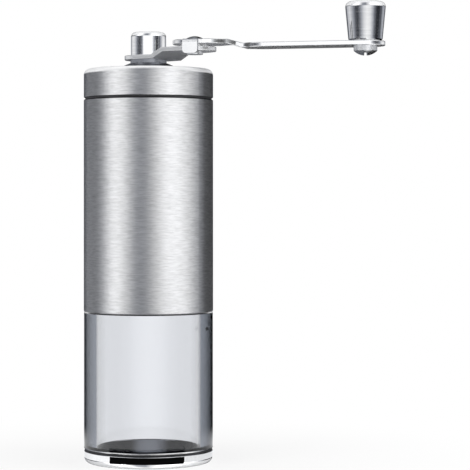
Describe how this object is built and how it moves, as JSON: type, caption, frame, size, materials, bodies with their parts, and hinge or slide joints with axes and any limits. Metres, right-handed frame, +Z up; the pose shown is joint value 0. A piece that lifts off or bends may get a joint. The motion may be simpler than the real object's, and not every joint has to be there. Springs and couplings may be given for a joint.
{
  "type": "hand crank coffee grinder",
  "caption": "Slim hand coffee grinder with a brushed steel body, clear jar, polished base and a folding crank with a tapered knob; it grinds beans between conical burrs",
  "frame": {"origin": "centre of the base's underside, on the drive shaft's axis", "axes": "+Z up along the drive shaft, +X along the crank's bracket, the arm at 24 degrees from +X towards +Y"},
  "size_m": [0.1158, 0.0593, 0.1751],
  "materials": {
    "brushed_body": "brushed round the axis",
    "polished": "polished",
    "clear_jar": "clear acrylic",
    "seals": "matte",
    "dark_plastic": "moulded",
    "inner_steel": "turned",
    "bushes": "turned",
    "burrs": "unglazed ceramic"
  },
  "bodies": {
    "body": {"body_tube": "brushed_body", "burr_housing": "dark_plastic", "lower_bush": "bushes", "outer_burr": "burrs", "burr_retainer": "dark_plastic", "retainer_screws": "inner_steel", "upper_spider": "dark_plastic", "upper_bush": "bushes"},
    "lid": {"lid_shell": "brushed_body", "lid_insert": "dark_plastic", "lid_bush": "dark_plastic", "lid_seal": "seals"},
    "collar": {"drive_collar": "polished", "collar_clip": "inner_steel"},
    "crank": {"hub_socket": "polished", "hub_cap": "polished", "crank_bracket": "polished", "fold_rivet": "polished", "fold_washer": "inner_steel"},
    "arm": {"crank_arm": "polished", "knob_screw": "polished", "knob_axle": "inner_steel", "knob_washer": "inner_steel"},
    "knob": {"knob_body": "polished", "knob_cap": "polished"},
    "shaft": {"drive_shaft": "inner_steel", "shaft_clip": "inner_steel"},
    "burr": {"inner_burr": "burrs", "burr_core": "dark_plastic", "burr_spring": "inner_steel", "detent_washer": "inner_steel"},
    "dial": {"adjust_dial": "dark_plastic", "dial_nut": "bushes"},
    "jar": {"jar_tube": "clear_jar", "jar_base": "polished", "base_gasket": "seals", "neck_seal": "seals"}
  },
  "joints": [
    {"name": "lid_lift", "type": "slide", "parent": "body", "child": "lid", "axis": [0, 0, 1], "range_m": [0, 0.032]},
    {"name": "crank_turn", "type": "hinge", "parent": "lid", "child": "collar", "pos_m": [0, 0, 0.153], "axis": [0, 0, 1], "continuous": true},
    {"name": "crank_lift", "type": "slide", "parent": "collar", "child": "crank", "axis": [0, 0, 1], "range_m": [0, 0.014]},
    {"name": "arm_fold", "type": "hinge", "parent": "crank", "child": "arm", "pos_m": [0.0231, 0, 0.1602], "axis": [0, 0, 1], "range_deg": [-24, 96]},
    {"name": "knob_spin", "type": "hinge", "parent": "arm", "child": "knob", "pos_m": [0.08321, 0.02676, 0.168], "axis": [0, 0, 1], "continuous": true},
    {"name": "shaft_turn", "type": "hinge", "parent": "body", "child": "shaft", "pos_m": [0, 0, 0.11], "axis": [0, 0, 1], "continuous": true},
    {"name": "burr_gap", "type": "slide", "parent": "shaft", "child": "burr", "axis": [0, 0, -1], "range_m": [0, 0.0012], "deforming": ["burr_spring"]},
    {"name": "dial_turn", "type": "hinge", "parent": "burr", "child": "dial", "pos_m": [0, 0, 0.0665], "axis": [0, 0, 1], "range_deg": [0, 540]},
    {"name": "jar_pull", "type": "slide", "parent": "body", "child": "jar", "axis": [0, 0, -1], "range_m": [0, 0.02]}
  ],
  "couplings": [
    {"joint": "shaft_turn", "follows": "crank_turn", "ratio": 1},
    {"joint": "burr_gap", "follows": "dial_turn", "m_per_rad": 0.000127}
  ]
}
